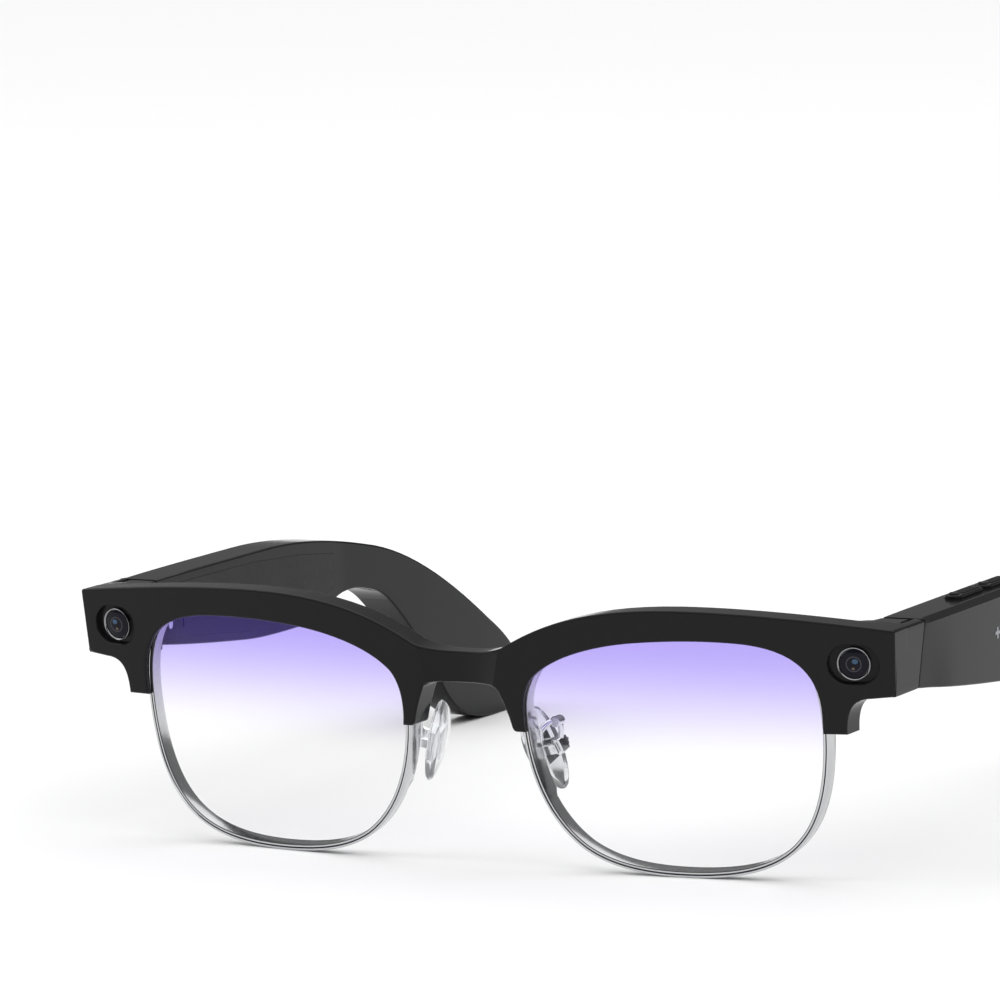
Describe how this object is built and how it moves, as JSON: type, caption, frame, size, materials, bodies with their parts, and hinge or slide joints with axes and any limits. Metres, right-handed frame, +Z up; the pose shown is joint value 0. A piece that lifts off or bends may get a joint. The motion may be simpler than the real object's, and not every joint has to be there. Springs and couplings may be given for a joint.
{
  "type": "smart glasses",
  "caption": "Browline smart glasses: black brow and thick folding temples, metal lower rims, tinted lenses, corner cameras, nose pads and top buttons.",
  "frame": {"origin": "under the middle of the open glasses, on the plane that the rims and ear tips rest on", "axes": "+Z up, +Y towards the ear tips, +X towards the wearer's left, so the lenses face -Y"},
  "size_m": [0.1498, 0.1546, 0.0448],
  "materials": {
    "black_gloss": "polished black, soft highlights, very fine haze",
    "black_satin": "satin black moulded covers",
    "tip_black": "polished black ear tip",
    "rim_metal": "polished nickel-silver with a fine brushed grain",
    "arm_metal": "bright plated wire",
    "hinge_metal": "stamped stainless leaf",
    "screw_steel": "turned stainless",
    "lens_violet": "clear polycarbonate with a violet tint that fades to clear below the middle",
    "pad_silicone": "translucent silicone",
    "camera_glass": "coated dark glass with blue and amber reflections",
    "camera_ring_metal": "bright turned ring",
    "camera_black": "blackened lens barrel",
    "circuit_green": "solder-masked circuit board",
    "flex_amber": "polyimide flex circuit",
    "cell_foil": "foil pouch cell",
    "speaker_black": "moulded speaker box",
    "grille_mesh": "fine black mesh",
    "contact_gold": "gold-plated contact",
    "mark_grey": "pad-printed grey inlay",
    "status_blue": "lit blue light pipe"
  },
  "bodies": {
    "front": {"brow_frame": "black_gloss", "brow_back_strip": "black_satin", "front_flex": "flex_amber", "front_screws": "screw_steel", "end_cover_left": "black_satin", "rim_left": "rim_metal", "lens_left": "lens_violet", "nose_arm_left": "arm_metal", "camera_ring_left": "camera_ring_metal", "camera_window_left": "camera_glass", "camera_barrel_left": "camera_black", "camera_board_left": "circuit_green", "hinge_front_left": "hinge_metal", "hinge_pin_left": "screw_steel", "end_cover_right": "black_satin", "rim_right": "rim_metal", "lens_right": "lens_violet", "nose_arm_right": "arm_metal", "camera_ring_right": "camera_ring_metal", "camera_window_right": "camera_glass", "camera_barrel_right": "camera_black", "camera_board_right": "circuit_green", "hinge_front_right": "hinge_metal", "hinge_pin_right": "screw_steel"},
    "temple_left": {"temple_case_left": "black_gloss", "temple_cover_left": "black_satin", "temple_screws_left": "screw_steel", "hinge_rear_left": "hinge_metal", "ear_tip_left": "tip_black", "battery_left": "cell_foil", "speaker_left": "speaker_black", "speaker_grille_left": "grille_mesh", "microphone_left": "screw_steel", "main_board": "circuit_green", "touch_film": "flex_amber", "volume_marks": "mark_grey", "charge_contacts": "contact_gold", "button_board": "circuit_green"},
    "nose_pad_left": {"nose_pad_left": "pad_silicone", "pad_core_left": "arm_metal", "pad_screw_left": "screw_steel"},
    "temple_right": {"temple_case_right": "black_gloss", "temple_cover_right": "black_satin", "temple_screws_right": "screw_steel", "hinge_rear_right": "hinge_metal", "ear_tip_right": "tip_black", "battery_right": "cell_foil", "speaker_right": "speaker_black", "speaker_grille_right": "grille_mesh", "microphone_right": "screw_steel", "radio_board": "circuit_green"},
    "nose_pad_right": {"nose_pad_right": "pad_silicone", "pad_core_right": "arm_metal", "pad_screw_right": "screw_steel"},
    "front_button": {"front_button": "black_gloss"},
    "rear_button": {"rear_button": "black_gloss", "status_light": "status_blue"}
  },
  "joints": [
    {"name": "left_temple_fold", "type": "hinge", "parent": "front", "child": "temple_left", "pos_m": [0.0692, -0.05985, 0.037], "axis": [0, 0, 1], "range_deg": [0, 90]},
    {"name": "right_temple_fold", "type": "hinge", "parent": "front", "child": "temple_right", "pos_m": [-0.0692, -0.05985, 0.037], "axis": [0, 0, -1], "range_deg": [0, 75]},
    {"name": "left_pad_rock", "type": "hinge", "parent": "front", "child": "nose_pad_left", "pos_m": [0.01283, -0.06603, 0.02005], "axis": [-0.1229, -0.9318, -0.3415], "range_deg": [-8, 8]},
    {"name": "right_pad_rock", "type": "hinge", "parent": "front", "child": "nose_pad_right", "pos_m": [-0.01283, -0.06603, 0.02005], "axis": [0.1229, -0.9318, -0.3415], "range_deg": [-8, 8]},
    {"name": "front_button_press", "type": "slide", "parent": "temple_left", "child": "front_button", "axis": [0, 0, -1], "range_m": [0, 0.0003], "stiffness_N_per_m": 2000},
    {"name": "rear_button_press", "type": "slide", "parent": "temple_left", "child": "rear_button", "axis": [0, 0, -1], "range_m": [0, 0.0003], "stiffness_N_per_m": 2000}
  ]
}
